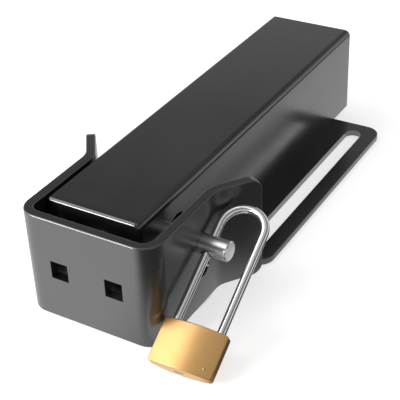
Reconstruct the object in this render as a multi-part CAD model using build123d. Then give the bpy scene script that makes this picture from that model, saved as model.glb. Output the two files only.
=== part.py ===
from build123d import *
from math import cos, radians, sin
import os

# Electric gate lock: a square lock tube on a slotted base plate, pushed into a U-shaped receiver strap.
# A cross-drilled clevis pin holds the two together and a long-shackle padlock hangs on its free end.
# Millimetres. X is across the tube, +Y runs from the receiver to the cable end, +Z is up.
# The origin is on the underside of the base plate, on the tube's centre line, at the plate's mid length.

# Base plate
PLATE_FRONT_SETBACK = 66.0
PLATE_WIDTH = 130.4
PLATE_T = 4.0
PLATE_CORNER_R = 10.0
PLATE_EDGE_R = 0.5
SLOT_WIDTH = 10.9
SLOT_END_MARGIN = 9.2
SLOT_TO_EDGE = 15.25

# Lock tube, a folded box section with a rounder bend on the right of its top
TUBE_WIDTH = 59.4
TUBE_HEIGHT = 58.0
TUBE_WALL = 3.0
TUBE_RIGHT_R = 4.0
TUBE_LEFT_R = 2.2
TUBE_LENGTH = 260.5
TUBE_REAR_OVERHANG = 21.4

# Receiver strap
RECEIVER_LEFT_GAP = 0.6
RECEIVER_RIGHT_GAP = 13.9
RECEIVER_HEIGHT = 63.5
RECEIVER_T = 5.5
RECEIVER_BEND_R = 6.0
RECEIVER_FRONT_GAP = 13.5
RECEIVER_EDGE_R = 0.8
ARM_LENGTH = 65.4
FLARE_LENGTH = 28.0
FLARE_ANGLE = 35.5
FLARE_BEND_R = 16.0
FLARE_CORNER_R = 7.0
BOLT_SQUARE = 11.0
BOLT_SPACING = 34.4
ARM_HOLE_CLEARANCE = 0.2
SPARE_HOLE_DROP = 15.5

# Clevis pin
PIN_D = 11.4
PIN_Z = 39.5
PIN_SETBACK = 48.0
PIN_STANDOUT = 16.8
PIN_HEAD_D = 18.0
PIN_HEAD_T = 4.0
PIN_HEAD_CLEARANCE = 0.3
PIN_END_CHAMFER = 0.6
PIN_HOLE_D = 6.4
PIN_HOLE_OFFSET = 4.8

# Throat guide in the tube's front end
GUIDE_RIM = 5.0
GUIDE_RIM_R = 2.0
GUIDE_CHEEK = 4.0
GUIDE_CLEARANCE = 0.2
GUIDE_BEHIND_THROAT = 6.0
THROAT_CLEARANCE = 0.4
THROAT_END_R = 8.8
THROAT_END_SETBACK = 7.0

# Rear plug and cable grommet
PLUG_T = 4.0
PLUG_SKIRT = 14.0
PLUG_WALL = 2.5
PLUG_RECESS = 1.0
PLUG_CLEARANCE = 0.15
GROMMET_BORE_D = 7.0
GROMMET_NECK_D = 12.0
GROMMET_FLANGE_D = 17.0
GROMMET_FLANGE_T = 2.0
GROMMET_CLEARANCE = 0.1

# Carrier inside the tube
CARRIER_T = 2.0
CARRIER_WIDTH = 44.0
CARRIER_FRONT_MARGIN = 8.0
CARRIER_REAR_MARGIN = 4.0
CHEEK_LENGTH = 20.0
SCREW_D = 4.0
SCREW_HEAD_D = 8.0
SCREW_CLEARANCE = 0.1
SCREW_X = 17.0
SCREW_SOCKET = 2.5
SCREW_SOCKET_DEPTH = 1.8

# Hook latch
HOOK_T = 12.0
HOOK_PIVOT_SETBACK = 70.0
HOOK_BOSS_R = 8.0
HOOK_WEB_SHARE = 0.9
HOOK_FLOOR_GAP = 1.0
HOOK_CLEARANCE = 0.5
HOOK_ARM_DEPTH = 9.0
HOOK_NOSE_DEPTH = 9.0
HOOK_NOSE_RISE = 4.0
HOOK_TIP = 2.5
HOOK_TAIL_WIDTH = 12.0
HOOK_TAIL_ABOVE_LINK = 6.0
PIVOT_D = 8.0
PIVOT_CLEARANCE = 0.05
PIVOT_HEAD_D = 12.0
PIVOT_HEAD_T = 1.5
SPACER_T = 3.0
SPACER_D = 14.0
SPACER_GAP = 0.1

# Hook return spring
SPRING_SETBACK = 45.0
SPRING_WIRE_D = 0.9
SPRING_MEAN_R = 3.2
SPRING_TURNS = 6.0
SPRING_POCKET_D = 8.6
SPRING_POCKET_DEPTH = 8.0
SPRING_SEAT_GAP = 0.1

# Solenoid
SOLENOID_LENGTH = 62.0
SOLENOID_HEIGHT = 48.0
SOLENOID_WIDTH = 34.0
SOLENOID_STRAP_T = 3.0
SOLENOID_BEHIND_PIVOT = 16.0
BOBBIN_FLANGE_D = 40.0
BOBBIN_FLANGE_T = 2.0
BOBBIN_WALL = 1.3
COIL_D = 37.0
COIL_CLEARANCE = 0.1
PLUNGER_D = 14.0
PLUNGER_CLEARANCE = 0.2
PLUNGER_LENGTH = 56.0
PLUNGER_BEHIND_PIVOT = 9.0
TONGUE_T = 4.0
TONGUE_REACH = 4.5
TONGUE_CLEARANCE = 0.3
LINK_PIN_D = 4.0
LINK_CLEARANCE = 0.2
LINK_SLOT_EXTRA = 1.6

# Terminal block and coil leads
TERMINAL_WIDTH = 20.0
TERMINAL_LENGTH = 12.0
TERMINAL_HEIGHT = 14.0
TERMINAL_BEHIND_COIL = 24.0
TERMINAL_SCREW_D = 3.6
TERMINAL_SCREW_T = 2.0
TERMINAL_SLOT = 0.7
TERMINAL_PITCH = 10.0
LEAD_D = 1.8
LEAD_BEND_R = 5.0
LEAD_SIDE_GAP = 0.6

# Padlock
CASE_WIDTH = 36.0
CASE_HEIGHT = 24.6
CASE_T = 11.5
CASE_SIDE_T = 5.2
CASE_CORNER_R = 1.4
CASE_EDGE_R = 0.6
CASE_BOTTOM_BULGE = 0.6
SHACKLE_D = 4.8
SHACKLE_PITCH = 25.3
SHACKLE_RISE = 58.2
SHACKLE_CLEARANCE = 0.15
TOE_DEPTH = 9.0
HEEL_DEPTH = 15.0
KEY_PLUG_D = 8.6
KEY_PLUG_LENGTH = 16.0
KEY_PLUG_CLEARANCE = 0.08
KEYWAY_WIDTH = 1.4
KEYWAY_LENGTH = 5.6
KEYWAY_DEPTH_SHARE = 0.75
DOG_SECTION = 3.6
DOG_LENGTH = 6.0
DOG_DEPTH = 5.0
DOG_NOTCH = 1.2
DOG_CLEARANCE = 0.2
DOG_TRAVEL = 2.0
PADLOCK_HEADING = 2.3
PADLOCK_LEAN = 60.6
PADLOCK_ROLL = 1.8

# How far a cutter runs past the face that it opens
CUT = 1.0

# Places worked out from the sizes above
PLATE_LENGTH = TUBE_LENGTH - TUBE_REAR_OVERHANG - PLATE_FRONT_SETBACK
PLATE_REAR_Y = PLATE_LENGTH / 2
TUBE_REAR_Y = PLATE_REAR_Y + TUBE_REAR_OVERHANG
TUBE_FRONT_Y = TUBE_REAR_Y - TUBE_LENGTH
TUBE_MID_Z = PLATE_T + TUBE_HEIGHT / 2
TUBE_INNER_WIDTH = TUBE_WIDTH - 2 * TUBE_WALL
TUBE_INNER_HEIGHT = TUBE_HEIGHT - 2 * TUBE_WALL
TUBE_INNER_R = TUBE_RIGHT_R - TUBE_WALL
TUBE_BENDS = (TUBE_LEFT_R, TUBE_RIGHT_R)
INNER_BENDS = (TUBE_INNER_R, TUBE_INNER_R)
TUBE_FLOOR_Z = PLATE_T + TUBE_WALL
GUIDE_FRONT_Y = TUBE_FRONT_Y - GUIDE_RIM
RECEIVER_FRONT_Y = GUIDE_FRONT_Y - RECEIVER_FRONT_GAP - RECEIVER_T
RECEIVER_WIDTH = TUBE_WIDTH + RECEIVER_LEFT_GAP + RECEIVER_RIGHT_GAP + 2 * RECEIVER_T
RECEIVER_SHIFT_X = (RECEIVER_RIGHT_GAP - RECEIVER_LEFT_GAP) / 2
RECEIVER_RIGHT_X = RECEIVER_SHIFT_X + RECEIVER_WIDTH / 2
RECEIVER_LEFT_X = RECEIVER_SHIFT_X - RECEIVER_WIDTH / 2
PIN_Y = RECEIVER_FRONT_Y + PIN_SETBACK
PIN_R = PIN_D / 2
BOLT_Z = RECEIVER_HEIGHT / 2
ARM_HOLE_R = PIN_R + ARM_HOLE_CLEARANCE
SPARE_HOLE_Z = PIN_Z - SPARE_HOLE_DROP
THROAT_END_Y = PIN_Y + THROAT_END_SETBACK
CARRIER_TOP_Z = TUBE_FLOOR_Z + CARRIER_T
PIVOT_Y = PIN_Y + HOOK_PIVOT_SETBACK
PIVOT_Z = CARRIER_TOP_Z + HOOK_BOSS_R + HOOK_FLOOR_GAP
CHEEK_INNER_X = HOOK_T / 2 + SPACER_T + 2 * SPACER_GAP
SPRING_Y = PIVOT_Y - SPRING_SETBACK
CARRIER_FRONT_Y = SPRING_Y - CARRIER_FRONT_MARGIN
SOLENOID_FRONT_Y = PIVOT_Y + SOLENOID_BEHIND_PIVOT
SOLENOID_REAR_Y = SOLENOID_FRONT_Y + SOLENOID_LENGTH
SOLENOID_MID_Y = (SOLENOID_FRONT_Y + SOLENOID_REAR_Y) / 2
LINK_Z = CARRIER_TOP_Z + SOLENOID_HEIGHT / 2
BOBBIN_LENGTH = SOLENOID_LENGTH - 2 * SOLENOID_STRAP_T - 2 * COIL_CLEARANCE
BOBBIN_REAR_Y = SOLENOID_MID_Y + BOBBIN_LENGTH / 2
BOBBIN_BORE_R = PLUNGER_D / 2 + PLUNGER_CLEARANCE
BOBBIN_TUBE_R = BOBBIN_BORE_R + BOBBIN_WALL
TERMINAL_FRONT_Y = SOLENOID_REAR_Y + TERMINAL_BEHIND_COIL
CARRIER_REAR_Y = TERMINAL_FRONT_Y + TERMINAL_LENGTH + CARRIER_REAR_MARGIN
FRONT_SCREW_Y = PIVOT_Y
REAR_SCREW_Y = SOLENOID_MID_Y
REAR_SCREW_X = SOLENOID_WIDTH / 2 - SCREW_HEAD_D / 2
SHACKLE_R = SHACKLE_D / 2


def rounded_bar(width, height, length, corner_radii, y_start, z_mid):
    """A bar along +Y from y_start, with a rectangular section whose top left and right corners are rounded."""
    left_r, right_r = corner_radii
    section = Rectangle(width, height)
    section = fillet(section.vertices().group_by(Axis.Y)[-1].sort_by(Axis.X)[-1], right_r)
    section = fillet(section.vertices().group_by(Axis.Y)[-1].sort_by(Axis.X)[0], left_r)
    return Pos(0, 0, z_mid) * extrude(Plane.XZ.offset(-y_start) * section, -length)


def cross_rod(radius, x_start, length, y, z):
    """A cylinder along +X from x_start."""
    return Pos(x_start + length / 2, y, z) * Rot(Y=90) * Cylinder(radius, length)


def long_rod(radius, y_start, length, x, z):
    """A cylinder along +Y from y_start."""
    return Pos(x, y_start + length / 2, z) * Rot(X=-90) * Cylinder(radius, length)


def upright_rod(radius, z_start, height, x, y):
    """A cylinder along +Z from z_start."""
    return Pos(x, y, z_start + height / 2) * Cylinder(radius, height)


def block(x_size, y_low, y_high, z_low, z_high, x_mid=0.0):
    """A box between two Y planes and two Z planes."""
    place = Pos(x_mid, (y_low + y_high) / 2, (z_low + z_high) / 2)
    return place * Box(x_size, y_high - y_low, z_high - z_low)


def coil_spring(mean_r, wire_d, length, turns):
    """A helical spring along +Z whose wire lies between z = 0 and z = length."""
    height = length - wire_d
    path = Helix(height / turns, height, mean_r)
    start = Plane(origin=path @ 0, z_dir=path % 0)
    return Pos(0, 0, wire_d / 2) * sweep(start * Circle(wire_d / 2), path=path, is_frenet=True)


def throat(y_front, half_height, end_r, width):
    """The slot that the clevis pin enters: open to the front, with a rounder closed end."""
    run = block(width, y_front, THROAT_END_Y, PIN_Z - half_height, PIN_Z + half_height)
    return run + cross_rod(end_r, -width / 2, width, THROAT_END_Y, PIN_Z)


def screw_places():
    """Centres of the four carrier screws, the front pair by the pivot and the rear pair in the solenoid."""
    front = [(side * SCREW_X, FRONT_SCREW_Y) for side in (-1, 1)]
    rear = [(side * REAR_SCREW_X, REAR_SCREW_Y) for side in (-1, 1)]
    return front + rear


def screw_holes(z_low, z_high):
    """Clearance holes for the carrier screws."""
    hole_r = SCREW_D / 2 + SCREW_CLEARANCE
    return [upright_rod(hole_r, z_low, z_high - z_low, x, y) for x, y in screw_places()]


def base_plate():
    """Flat plate with a long bolt slot each side of the tube and countersinks for the carrier screws."""
    outline = RectangleRounded(PLATE_WIDTH, PLATE_LENGTH, PLATE_CORNER_R)
    slot = SlotOverall(PLATE_LENGTH - 2 * SLOT_END_MARGIN, SLOT_WIDTH, rotation=90)
    slot_x = PLATE_WIDTH / 2 - SLOT_TO_EDGE
    plate = extrude(outline - Pos(slot_x, 0) * slot - Pos(-slot_x, 0) * slot, PLATE_T)
    rims = plate.faces().sort_by(Axis.Z)[-1].outer_wire().edges()
    rims += plate.faces().sort_by(Axis.Z)[0].outer_wire().edges()
    plate = fillet(rims, PLATE_EDGE_R)
    plate -= screw_holes(-CUT, PLATE_T + CUT)
    sink_r = SCREW_HEAD_D / 2 + SCREW_CLEARANCE
    sink_low_r = SCREW_D / 2 + SCREW_CLEARANCE
    sink_depth = (SCREW_HEAD_D - SCREW_D) / 2
    for x, y in screw_places():
        plate -= Pos(x, y, sink_depth / 2) * Cone(sink_r, sink_low_r, sink_depth)
    return plate


def lock_tube():
    """Steel box section, open at both ends, with the pin throat cut through both side walls."""
    tube = rounded_bar(TUBE_WIDTH, TUBE_HEIGHT, TUBE_LENGTH, TUBE_BENDS, TUBE_FRONT_Y, TUBE_MID_Z)
    inner = (TUBE_INNER_WIDTH, TUBE_INNER_HEIGHT, TUBE_LENGTH, INNER_BENDS, TUBE_FRONT_Y, TUBE_MID_Z)
    tube -= rounded_bar(*inner)
    half_height = PIN_R + THROAT_CLEARANCE
    tube -= throat(TUBE_FRONT_Y - CUT, half_height, THROAT_END_R, TUBE_WIDTH + 2 * CUT)
    tube -= screw_holes(PLATE_T - CUT, TUBE_FLOOR_Z + CUT)
    return tube


def throat_guide():
    """Moulded guide: a rounded rim on the tube's end and two cheeks that line the side walls."""
    width = TUBE_INNER_WIDTH - 2 * GUIDE_CLEARANCE
    height = TUBE_INNER_HEIGHT - 2 * GUIDE_CLEARANCE
    rear_y = THROAT_END_Y + THROAT_END_R + GUIDE_BEHIND_THROAT
    rim = rounded_bar(TUBE_WIDTH, TUBE_HEIGHT, GUIDE_RIM, TUBE_BENDS, GUIDE_FRONT_Y, TUBE_MID_Z)
    rim = fillet(rim.faces().sort_by(Axis.Y)[0].edges(), GUIDE_RIM_R)
    skirt = rounded_bar(width, height, rear_y - TUBE_FRONT_Y, INNER_BENDS, TUBE_FRONT_Y, TUBE_MID_Z)
    core = block(width - 2 * GUIDE_CHEEK, TUBE_FRONT_Y, rear_y + CUT, PLATE_T, PLATE_T + TUBE_HEIGHT)
    guide = rim + (skirt - core)
    half_height = PIN_R + THROAT_CLEARANCE
    return guide - throat(GUIDE_FRONT_Y - CUT, half_height, THROAT_END_R, TUBE_WIDTH + 2 * CUT)


def rear_plug():
    """Hollow insert that closes the tube's cable end, with a hole for the grommet."""
    width = TUBE_INNER_WIDTH - 2 * PLUG_CLEARANCE
    height = TUBE_INNER_HEIGHT - 2 * PLUG_CLEARANCE
    rear_y = TUBE_REAR_Y - PLUG_RECESS
    front_y = rear_y - PLUG_SKIRT
    plug = rounded_bar(width, height, PLUG_SKIRT, INNER_BENDS, front_y, TUBE_MID_Z)
    hollow_top = TUBE_MID_Z + height / 2 - PLUG_WALL
    hollow_low = TUBE_MID_Z - height / 2 + PLUG_WALL
    plug -= block(width - 2 * PLUG_WALL, front_y - CUT, rear_y - PLUG_T, hollow_low, hollow_top)
    hole_r = GROMMET_NECK_D / 2 + GROMMET_CLEARANCE
    return plug - long_rod(hole_r, rear_y - PLUG_T - CUT, PLUG_T + 2 * CUT, 0, TUBE_MID_Z)


def cable_grommet():
    """Rubber ring with a flange each side of the rear plug's wall."""
    rear_y = TUBE_REAR_Y - PLUG_RECESS
    front_y = rear_y - PLUG_T
    flange_r = GROMMET_FLANGE_D / 2
    length = PLUG_T + 2 * GROMMET_FLANGE_T
    ring = long_rod(GROMMET_NECK_D / 2, front_y, PLUG_T, 0, TUBE_MID_Z)
    ring += long_rod(flange_r, front_y - GROMMET_FLANGE_T, GROMMET_FLANGE_T, 0, TUBE_MID_Z)
    ring += long_rod(flange_r, rear_y, GROMMET_FLANGE_T, 0, TUBE_MID_Z)
    bore_y = front_y - GROMMET_FLANGE_T - CUT
    return ring - long_rod(GROMMET_BORE_D / 2, bore_y, length + 2 * CUT, 0, TUBE_MID_Z)


def receiver_strap():
    """Flat bar folded to a U with flared ends: square bolt holes in front, two round holes in each arm."""
    half = RECEIVER_WIDTH / 2 - RECEIVER_T / 2
    front = RECEIVER_FRONT_Y + RECEIVER_T / 2
    bend_y = RECEIVER_FRONT_Y + ARM_LENGTH
    flare_x = half + FLARE_LENGTH * sin(radians(FLARE_ANGLE))
    flare_y = bend_y + FLARE_LENGTH * cos(radians(FLARE_ANGLE))
    right = [(half, front), (half, bend_y), (flare_x, flare_y)]
    left = [(-x, y) for x, y in reversed(right)]
    corner_r = RECEIVER_BEND_R + RECEIVER_T / 2
    path = FilletPolyline(*left, *right, radius=[FLARE_BEND_R, corner_r, corner_r, FLARE_BEND_R])
    strap = extrude(trace(path, RECEIVER_T), RECEIVER_HEIGHT)
    ends = strap.edges().filter_by(lambda e: abs(e.length - RECEIVER_T) < 0.01)
    strap = fillet(ends.filter_by(GeomType.LINE).filter_by(Plane.XY), FLARE_CORNER_R)
    rims = strap.faces().sort_by(Axis.Z)[-1].edges() + strap.faces().sort_by(Axis.Z)[0].edges()
    strap = fillet(rims.filter_by(lambda e: e.length > RECEIVER_T + 0.01), RECEIVER_EDGE_R)
    for side in (-1, 1):
        hole = Pos(side * BOLT_SPACING / 2, front, BOLT_Z) * Box(BOLT_SQUARE, 2 * RECEIVER_T, BOLT_SQUARE)
        strap -= hole
    across = (-RECEIVER_WIDTH, 2 * RECEIVER_WIDTH)
    strap -= cross_rod(ARM_HOLE_R, *across, PIN_Y, PIN_Z)
    strap -= cross_rod(ARM_HOLE_R, *across, PIN_Y, SPARE_HOLE_Z)
    return Pos(RECEIVER_SHIFT_X, 0, 0) * strap


def leg_heading():
    """The padlock's turn: it leans back over its leg, headed a little to one side and rolled."""
    return Rot(Z=PADLOCK_HEADING) * Rot(X=-PADLOCK_LEAN) * Rot(Z=PADLOCK_ROLL)


def clevis_pin():
    """Stainless pin with a flat head on the far side and a cross hole for the padlock's shackle."""
    head_face = RECEIVER_LEFT_X - PIN_HEAD_CLEARANCE
    end_x = RECEIVER_RIGHT_X + PIN_STANDOUT
    pin = cross_rod(PIN_R, head_face - PIN_HEAD_T, end_x - head_face + PIN_HEAD_T, PIN_Y, PIN_Z)
    pin += cross_rod(PIN_HEAD_D / 2, head_face - PIN_HEAD_T, PIN_HEAD_T, PIN_Y, PIN_Z)
    pin = chamfer(pin.faces().sort_by(Axis.X)[-1].edges(), PIN_END_CHAMFER)
    pin = chamfer(pin.faces().sort_by(Axis.X)[0].edges(), PIN_END_CHAMFER)
    hole = Rot(X=-PADLOCK_LEAN) * Cylinder(PIN_HOLE_D / 2, 2 * PIN_D)
    return pin - Pos(RECEIVER_RIGHT_X + PIN_HOLE_OFFSET, PIN_Y, PIN_Z) * hole


def case_solid():
    """Padlock case, upright, with bowed faces: the toe leg is the local Z axis and the top is at z = 0."""
    mid = SHACKLE_PITCH / 2
    left = mid - CASE_WIDTH / 2
    right = mid + CASE_WIDTH / 2
    low = -CASE_HEIGHT
    sides = Polyline((left, low), (left, 0), (right, 0), (right, low))
    bottom = ThreePointArc((right, low), (mid, low - CASE_BOTTOM_BULGE), (left, low))
    outline = make_face(sides + bottom)
    outline = fillet(outline.vertices(), CASE_CORNER_R)
    front = extrude(Plane.XZ * outline, CASE_T, both=True)
    near = ThreePointArc((left, -CASE_SIDE_T / 2), (mid, -CASE_T / 2), (right, -CASE_SIDE_T / 2))
    far = ThreePointArc((right, CASE_SIDE_T / 2), (mid, CASE_T / 2), (left, CASE_SIDE_T / 2))
    ends = Line(near @ 1, far @ 0) + Line(far @ 1, near @ 0)
    lens = extrude(make_face(near + far + ends), 2 * CASE_HEIGHT, both=True)
    case = front & lens
    rims = [edge for edge in case.edges() if abs(edge.center().Y) > CASE_SIDE_T / 4]
    return fillet(rims, CASE_EDGE_R)


def toe_to_pin():
    """How far the case top lies below the pin along the toe leg, with the case resting at z = 0."""
    low = (leg_heading() * case_solid()).bounding_box().min.Z
    return (PIN_Z + low) / cos(radians(PADLOCK_LEAN))


def padlock_place():
    """Place of the padlock: the toe leg runs through the pin's cross hole."""
    hole_x = RECEIVER_RIGHT_X + PIN_HOLE_OFFSET
    return Pos(hole_x, PIN_Y, PIN_Z) * leg_heading() * Pos(0, 0, -toe_to_pin())


def key_plug_bottom():
    """Height of the case's bottom at its middle."""
    return -CASE_HEIGHT - CASE_BOTTOM_BULGE


def padlock_case():
    """Solid brass case with two shackle holes, the key plug's bore and the dog's channel."""
    mid = SHACKLE_PITCH / 2
    hole_r = SHACKLE_R + SHACKLE_CLEARANCE
    case = case_solid()
    toe_low = -TOE_DEPTH - SHACKLE_CLEARANCE
    case -= upright_rod(hole_r, toe_low, CUT - toe_low, 0, 0)
    heel_low = -HEEL_DEPTH - SHACKLE_CLEARANCE
    case -= upright_rod(hole_r, heel_low, CUT - heel_low, SHACKLE_PITCH, 0)
    bore_r = KEY_PLUG_D / 2 + KEY_PLUG_CLEARANCE
    bore_length = KEY_PLUG_LENGTH + KEY_PLUG_CLEARANCE + CUT
    case -= upright_rod(bore_r, key_plug_bottom() - CUT, bore_length, mid, 0)
    channel = DOG_SECTION + 2 * DOG_CLEARANCE
    run = DOG_LENGTH + DOG_TRAVEL + 2 * DOG_CLEARANCE
    start = SHACKLE_R - DOG_NOTCH
    case -= Pos(start + run / 2, 0, -DOG_DEPTH) * Box(run, channel, channel)
    return padlock_place() * case


def padlock_shackle():
    """Long U of round bar: a short toe leg with the dog's notch and a longer heel leg."""
    leg_low = (0, 0, -TOE_DEPTH)
    heel_low = (SHACKLE_PITCH, 0, -HEEL_DEPTH)
    toe = Line(leg_low, (0, 0, SHACKLE_RISE))
    top = (SHACKLE_PITCH / 2, 0, SHACKLE_RISE + SHACKLE_PITCH / 2)
    bow = ThreePointArc((0, 0, SHACKLE_RISE), top, (SHACKLE_PITCH, 0, SHACKLE_RISE))
    heel = Line((SHACKLE_PITCH, 0, SHACKLE_RISE), heel_low)
    bar = sweep(Plane(origin=leg_low) * Circle(SHACKLE_R), path=Wire([toe, bow, heel]))
    notch = DOG_SECTION + 4 * DOG_CLEARANCE
    start = SHACKLE_R - DOG_NOTCH
    bar -= Pos(start + DOG_LENGTH / 2, 0, -DOG_DEPTH) * Box(DOG_LENGTH, SHACKLE_D, notch)
    return padlock_place() * bar


def padlock_key_plug():
    """Turned brass key plug with its keyway, seated in the case's bore."""
    plug = upright_rod(KEY_PLUG_D / 2, key_plug_bottom(), KEY_PLUG_LENGTH, SHACKLE_PITCH / 2, 0)
    depth = KEYWAY_DEPTH_SHARE * KEY_PLUG_LENGTH
    keyway = Pos(SHACKLE_PITCH / 2, 0, key_plug_bottom() + (depth - CUT) / 2)
    plug -= keyway * Box(KEYWAY_LENGTH, KEYWAY_WIDTH, depth + CUT)
    return padlock_place() * plug


def padlock_dog():
    """Small steel block that slides into the toe leg's notch."""
    start = SHACKLE_R - DOG_NOTCH + DOG_CLEARANCE
    dog = Pos(start + DOG_LENGTH / 2, 0, -DOG_DEPTH) * Box(DOG_LENGTH, DOG_SECTION, DOG_SECTION)
    return padlock_place() * dog


def hook_latch():
    """Machined hook: a nose in front of the pin, an arm under it, and a forked tail over the pivot."""
    nose_back = PIN_Y - PIN_R - HOOK_CLEARANCE
    nose_front = nose_back - HOOK_NOSE_DEPTH
    nose_top = PIN_Z + HOOK_NOSE_RISE
    arm_top = PIN_Z - PIN_R - HOOK_CLEARANCE
    arm_low = arm_top - HOOK_ARM_DEPTH
    web = HOOK_WEB_SHARE * HOOK_BOSS_R
    points = [
        (nose_back, nose_top),
        (nose_back, arm_top),
        (PIN_Y + PIN_D, arm_top),
        (PIVOT_Y, PIVOT_Z + web),
        (PIVOT_Y, PIVOT_Z - web),
        (nose_front + HOOK_ARM_DEPTH / 2, arm_low),
        (nose_front, arm_low + HOOK_ARM_DEPTH / 2),
        (nose_front, arm_top),
        (nose_back - HOOK_TIP, nose_top),
    ]
    tail_top = LINK_Z + HOOK_TAIL_ABOVE_LINK
    outline = make_face(Polyline(*points, close=True))
    outline += Pos(PIVOT_Y, PIVOT_Z) * Circle(HOOK_BOSS_R)
    outline += Pos(PIVOT_Y, (PIVOT_Z + tail_top) / 2) * Rectangle(HOOK_TAIL_WIDTH, tail_top - PIVOT_Z)
    hook = extrude(Plane.YZ * outline, HOOK_T / 2, both=True)
    hook -= cross_rod(PIVOT_D / 2 + PIVOT_CLEARANCE, -HOOK_T, 2 * HOOK_T, PIVOT_Y, PIVOT_Z)
    fork = TONGUE_T + 2 * TONGUE_CLEARANCE
    fork_low = PIVOT_Z + HOOK_BOSS_R
    hook -= block(fork, PIVOT_Y - HOOK_BOSS_R, PIVOT_Y + HOOK_BOSS_R, fork_low, tail_top + CUT)
    slot_width = LINK_PIN_D + 2 * LINK_CLEARANCE
    slot = Plane.YZ * SlotOverall(slot_width + LINK_SLOT_EXTRA, slot_width, rotation=90)
    hook -= Pos(0, PIVOT_Y, LINK_Z) * extrude(slot, HOOK_T, both=True)
    pocket_top = spring_top()
    hook -= upright_rod(SPRING_POCKET_D / 2, CARRIER_TOP_Z, pocket_top - CARRIER_TOP_Z, 0, SPRING_Y)
    return hook


def spring_top():
    """Height of the spring pocket's roof in the hook's arm."""
    nose_front = PIN_Y - PIN_R - HOOK_CLEARANCE - HOOK_NOSE_DEPTH
    arm_low = PIN_Z - PIN_R - HOOK_CLEARANCE - HOOK_ARM_DEPTH
    pivot_low = PIVOT_Z - HOOK_WEB_SHARE * HOOK_BOSS_R
    run = PIVOT_Y - nose_front - HOOK_ARM_DEPTH / 2
    underside = pivot_low + (arm_low - pivot_low) * SPRING_SETBACK / run
    return underside + SPRING_POCKET_DEPTH


def hook_spring():
    """Compression spring that lifts the hook, seated on the carrier inside the hook's pocket."""
    low = CARRIER_TOP_Z + SPRING_SEAT_GAP
    length = spring_top() - SPRING_SEAT_GAP - low
    return Pos(0, SPRING_Y, low) * coil_spring(SPRING_MEAN_R, SPRING_WIRE_D, length, SPRING_TURNS)


def hook_pivot():
    """Headed pivot pin through the carrier's cheeks, the spacers and the hook."""
    outer_x = CHEEK_INNER_X + CARRIER_T
    pin = cross_rod(PIVOT_D / 2, -outer_x, 2 * outer_x, PIVOT_Y, PIVOT_Z)
    pin += cross_rod(PIVOT_HEAD_D / 2, outer_x, PIVOT_HEAD_T, PIVOT_Y, PIVOT_Z)
    return pin + cross_rod(PIVOT_HEAD_D / 2, -outer_x - PIVOT_HEAD_T, PIVOT_HEAD_T, PIVOT_Y, PIVOT_Z)


def hook_spacers():
    """Two rings on the pivot pin that keep the hook in the middle of the carrier."""
    rings = []
    bore_r = PIVOT_D / 2 + PIVOT_CLEARANCE
    for start in (HOOK_T / 2 + SPACER_GAP, -HOOK_T / 2 - SPACER_GAP - SPACER_T):
        ring = cross_rod(SPACER_D / 2, start, SPACER_T, PIVOT_Y, PIVOT_Z)
        rings.append(ring - cross_rod(bore_r, start - CUT, SPACER_T + 2 * CUT, PIVOT_Y, PIVOT_Z))
    return Compound(children=rings)


def carrier():
    """Folded sheet on the tube's floor with two cheeks for the hook's pivot."""
    sheet = block(CARRIER_WIDTH, CARRIER_FRONT_Y, CARRIER_REAR_Y, TUBE_FLOOR_Z, CARRIER_TOP_Z)
    cheek_top = PIVOT_Z + CHEEK_LENGTH / 2
    cheek_half = CHEEK_LENGTH / 2
    cheek = block(CARRIER_T, PIVOT_Y - cheek_half, PIVOT_Y + cheek_half, CARRIER_TOP_Z, cheek_top)
    for side in (-1, 1):
        sheet += Pos(side * (CHEEK_INNER_X + CARRIER_T / 2), 0, 0) * cheek
    sheet -= cross_rod(PIVOT_D / 2 + PIVOT_CLEARANCE, -CARRIER_WIDTH / 2, CARRIER_WIDTH, PIVOT_Y, PIVOT_Z)
    return sheet - screw_holes(TUBE_FLOOR_Z - CUT, CARRIER_TOP_Z + CUT)


def carrier_screws():
    """Four countersunk socket screws from below, the rear pair long enough for the solenoid."""
    head_h = (SCREW_HEAD_D - SCREW_D) / 2
    rear_length = CARRIER_TOP_Z + SOLENOID_STRAP_T
    lengths = [CARRIER_TOP_Z, CARRIER_TOP_Z, rear_length, rear_length]
    hexagon = RegularPolygon(SCREW_SOCKET / 2, 6, major_radius=False)
    socket = extrude(hexagon, SCREW_SOCKET_DEPTH)
    screws = []
    for (x, y), length in zip(screw_places(), lengths):
        screw = upright_rod(SCREW_D / 2, head_h / 2, length - head_h / 2, x, y)
        screw += Pos(x, y, head_h / 2) * Cone(SCREW_HEAD_D / 2, SCREW_D / 2, head_h)
        screws.append(screw - Pos(x, y, 0) * socket)
    return Compound(children=screws)


def solenoid_frame():
    """Closed strap frame around the coil, with plunger holes in both end walls."""
    top = CARRIER_TOP_Z + SOLENOID_HEIGHT
    t = SOLENOID_STRAP_T
    frame = block(SOLENOID_WIDTH, SOLENOID_FRONT_Y, SOLENOID_REAR_Y, CARRIER_TOP_Z, top)
    window = (SOLENOID_FRONT_Y + t, SOLENOID_REAR_Y - t, CARRIER_TOP_Z + t, top - t)
    frame -= block(SOLENOID_WIDTH + 2 * CUT, *window)
    frame -= long_rod(BOBBIN_BORE_R, SOLENOID_FRONT_Y - CUT, SOLENOID_LENGTH + 2 * CUT, 0, LINK_Z)
    return frame - screw_holes(CARRIER_TOP_Z - CUT, CARRIER_TOP_Z + t + CUT)


def solenoid_bobbin():
    """Moulded spool between the frame's end walls."""
    front_y = SOLENOID_MID_Y - BOBBIN_LENGTH / 2
    spool = long_rod(BOBBIN_TUBE_R, front_y, BOBBIN_LENGTH, 0, LINK_Z)
    for start in (front_y, BOBBIN_REAR_Y - BOBBIN_FLANGE_T):
        spool += long_rod(BOBBIN_FLANGE_D / 2, start, BOBBIN_FLANGE_T, 0, LINK_Z)
    return spool - long_rod(BOBBIN_BORE_R, front_y - CUT, BOBBIN_LENGTH + 2 * CUT, 0, LINK_Z)


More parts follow.
